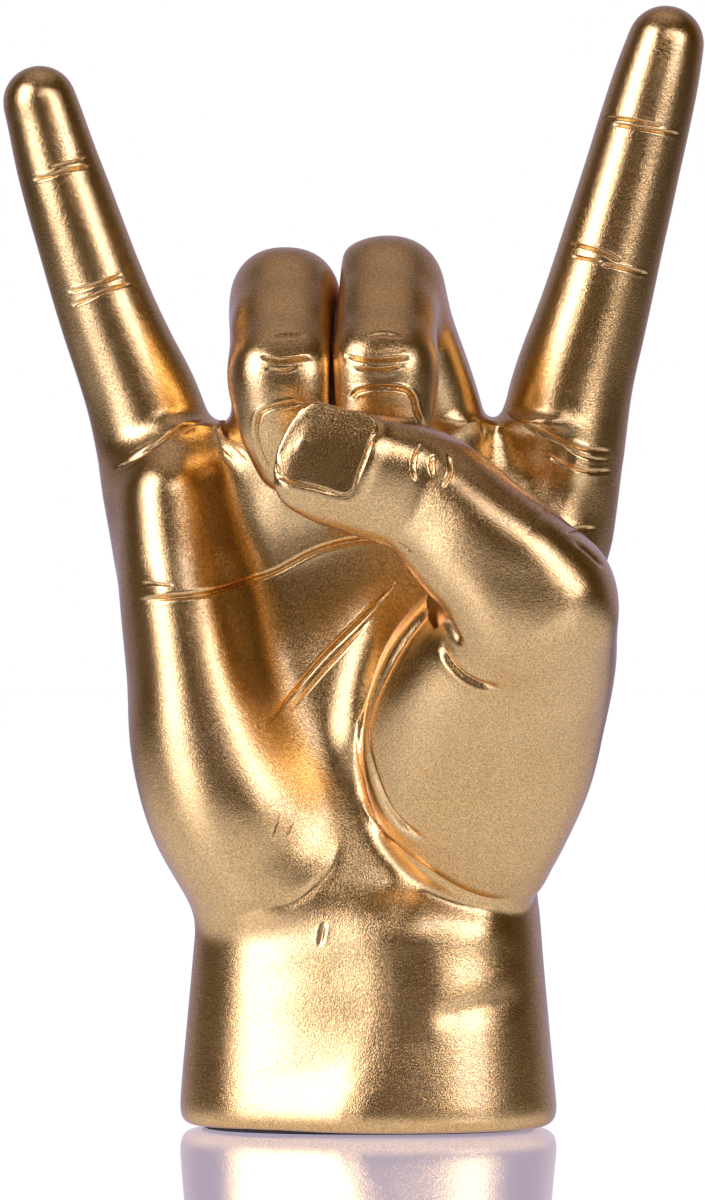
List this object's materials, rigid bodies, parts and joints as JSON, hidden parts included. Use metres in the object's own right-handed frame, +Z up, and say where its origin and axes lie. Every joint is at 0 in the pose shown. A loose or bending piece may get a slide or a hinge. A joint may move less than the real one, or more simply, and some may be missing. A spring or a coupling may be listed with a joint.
{
  "type": "hand gesture statue",
  "caption": "Life-size right hand on its wrist, index and little fingers raised and thumb over the two folded fingers; satin gold table statue.",
  "frame": {"origin": "centre of the underside of the base pad, where the statue rests", "axes": "+Z up to the fingertips, +X from the little finger to the index finger, -Y is the way that the palm faces"},
  "size_m": [0.1264, 0.0802, 0.2022],
  "materials": {
    "gold_lacquer": "satin gold metallic lacquer on cast polyresin",
    "steel": "plain drawn steel wire",
    "plaster": "cast plaster with sand",
    "raw_resin": "unpainted cast polyresin",
    "rubber": "thin smooth rubber sheet"
  },
  "bodies": {
    "root": {"palm_and_wrist_shell": "gold_lacquer", "index_finger": "gold_lacquer", "middle_finger": "gold_lacquer", "ring_finger": "gold_lacquer", "little_finger": "gold_lacquer", "thumb": "gold_lacquer", "index_finger_pin": "steel", "middle_finger_pin": "steel", "ring_finger_pin": "steel", "little_finger_pin": "steel", "thumb_pin": "steel", "weighted_core": "plaster", "base_plug": "raw_resin", "base_pad": "rubber"}
  },
  "joints": []
}
